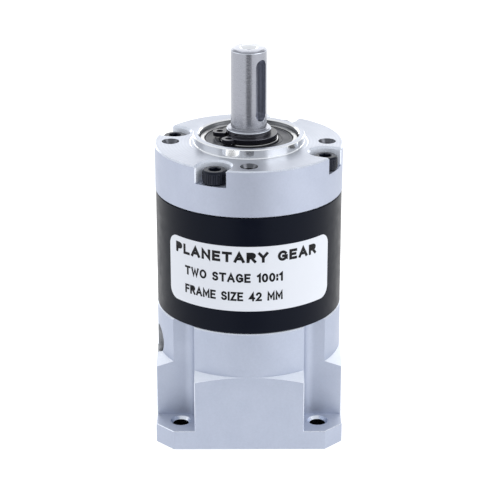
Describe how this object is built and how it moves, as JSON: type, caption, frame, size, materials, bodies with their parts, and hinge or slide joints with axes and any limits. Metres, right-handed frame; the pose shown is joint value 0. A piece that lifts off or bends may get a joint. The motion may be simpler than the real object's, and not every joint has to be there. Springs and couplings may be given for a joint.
{
  "type": "planetary gearbox",
  "caption": "In-line planetary gearbox with a round case, a square motor flange on posts, a pilot boss and a keyed output shaft; the gear train inside turns.",
  "frame": {"origin": "centre of the motor flange's mounting face, on the shaft axis", "axes": "+Z along the output shaft, away from the motor; -Y is the nameplate side; -X is the side with the clamp screw hole"},
  "size_m": [0.042, 0.042, 0.0877],
  "materials": {
    "case_aluminium": "fine blasted and clear anodised",
    "satin_aluminium": "fine blasted, with a turned boss and bright edges",
    "black_anodised": "satin black on steel",
    "ground_steel": "ground round the axis",
    "bearing_steel": "ground and polished",
    "gear_steel": "hobbed and oiled",
    "black_oxide": "black oxide",
    "spring_steel": "blued spring steel",
    "seal_rubber": "smooth dark rubber",
    "cage_polymer": "moulded cage",
    "label_film": "satin white film"
  },
  "bodies": {
    "case": {"motor_adapter": "case_aluminium", "ring_gear": "black_anodised", "output_flange": "satin_aluminium", "flange_screw_1": "black_oxide", "flange_screw_2": "black_oxide", "flange_screw_3": "black_oxide", "flange_screw_4": "black_oxide", "nameplate": "label_film", "front_bearing_outer_ring": "bearing_steel", "front_bearing_seal": "seal_rubber", "rear_bearing_outer_ring": "bearing_steel", "input_bearing_outer_ring": "bearing_steel", "bearing_retaining_ring": "spring_steel"},
    "output": {"output_shaft": "ground_steel", "shaft_circlip": "spring_steel", "front_bearing_inner_ring": "bearing_steel", "rear_bearing_inner_ring": "bearing_steel", "bearing_spacer": "ground_steel", "stage_2_pin_1": "bearing_steel", "stage_2_pin_2": "bearing_steel", "stage_2_pin_3": "bearing_steel", "stage_2_cover": "gear_steel"},
    "first_carrier": {"stage_1_carrier": "gear_steel", "stage_2_sun": "gear_steel", "stage_1_pin_1": "bearing_steel", "stage_1_pin_2": "bearing_steel", "stage_1_pin_3": "bearing_steel", "stage_1_cover": "gear_steel"},
    "input": {"input_hub": "gear_steel", "stage_1_sun": "gear_steel", "clamp_screw": "black_oxide", "input_bearing_inner_ring": "bearing_steel", "hub_circlip": "spring_steel"},
    "front_cage": {"front_bearing_ball_cage": "cage_polymer"},
    "rear_cage": {"rear_bearing_ball_cage": "cage_polymer"},
    "input_cage": {"input_bearing_ball_cage": "cage_polymer"},
    "second_stage_planet_1": {"stage_2_planet_1": "gear_steel"},
    "second_stage_planet_2": {"stage_2_planet_2": "gear_steel"},
    "second_stage_planet_3": {"stage_2_planet_3": "gear_steel"},
    "first_stage_planet_1": {"stage_1_planet_1": "gear_steel"},
    "first_stage_planet_2": {"stage_1_planet_2": "gear_steel"},
    "first_stage_planet_3": {"stage_1_planet_3": "gear_steel"}
  },
  "joints": [
    {"name": "output_shaft_turn", "type": "hinge", "parent": "case", "child": "output", "pos_m": [0, 0, 0.0647], "axis": [0, 0, 1], "continuous": true},
    {"name": "first_carrier_turn", "type": "hinge", "parent": "case", "child": "first_carrier", "pos_m": [0, 0, 0.0402], "axis": [0, 0, 1], "continuous": true},
    {"name": "input_hub_turn", "type": "hinge", "parent": "case", "child": "input", "pos_m": [0, 0, 0.0271], "axis": [0, 0, 1], "continuous": true},
    {"name": "second_stage_planet_1_turn", "type": "hinge", "parent": "output", "child": "second_stage_planet_1", "pos_m": [0, 0.00788, 0.0462], "axis": [0, 0, 1], "continuous": true},
    {"name": "second_stage_planet_2_turn", "type": "hinge", "parent": "output", "child": "second_stage_planet_2", "pos_m": [-0.00682, -0.00394, 0.0462], "axis": [0, 0, 1], "continuous": true},
    {"name": "second_stage_planet_3_turn", "type": "hinge", "parent": "output", "child": "second_stage_planet_3", "pos_m": [0.00682, -0.00394, 0.0462], "axis": [0, 0, 1], "continuous": true},
    {"name": "first_stage_planet_1_turn", "type": "hinge", "parent": "first_carrier", "child": "first_stage_planet_1", "pos_m": [0, 0.00788, 0.036], "axis": [0, 0, 1], "continuous": true},
    {"name": "first_stage_planet_2_turn", "type": "hinge", "parent": "first_carrier", "child": "first_stage_planet_2", "pos_m": [-0.00682, -0.00394, 0.036], "axis": [0, 0, 1], "continuous": true},
    {"name": "first_stage_planet_3_turn", "type": "hinge", "parent": "first_carrier", "child": "first_stage_planet_3", "pos_m": [0.00682, -0.00394, 0.036], "axis": [0, 0, 1], "continuous": true},
    {"name": "front_cage_turn", "type": "hinge", "parent": "case", "child": "front_cage", "pos_m": [0, 0, 0.0642], "axis": [0, 0, 1], "continuous": true},
    {"name": "rear_cage_turn", "type": "hinge", "parent": "case", "child": "rear_cage", "pos_m": [0, 0, 0.0556], "axis": [0, 0, 1], "continuous": true},
    {"name": "input_cage_turn", "type": "hinge", "parent": "case", "child": "input_cage", "pos_m": [0, 0, 0.0271], "axis": [0, 0, 1], "continuous": true}
  ],
  "couplings": [
    {"joint": "first_carrier_turn", "follows": "output_shaft_turn", "ratio": 10},
    {"joint": "input_hub_turn", "follows": "output_shaft_turn", "ratio": 100},
    {"joint": "second_stage_planet_1_turn", "follows": "output_shaft_turn", "ratio": -2.25},
    {"joint": "second_stage_planet_2_turn", "follows": "output_shaft_turn", "ratio": -2.25},
    {"joint": "second_stage_planet_3_turn", "follows": "output_shaft_turn", "ratio": -2.25},
    {"joint": "first_stage_planet_1_turn", "follows": "output_shaft_turn", "ratio": -22.5},
    {"joint": "first_stage_planet_2_turn", "follows": "output_shaft_turn", "ratio": -22.5},
    {"joint": "first_stage_planet_3_turn", "follows": "output_shaft_turn", "ratio": -22.5},
    {"joint": "front_cage_turn", "follows": "output_shaft_turn", "ratio": 0.4},
    {"joint": "rear_cage_turn", "follows": "output_shaft_turn", "ratio": 0.4},
    {"joint": "input_cage_turn", "follows": "output_shaft_turn", "ratio": 43}
  ]
}
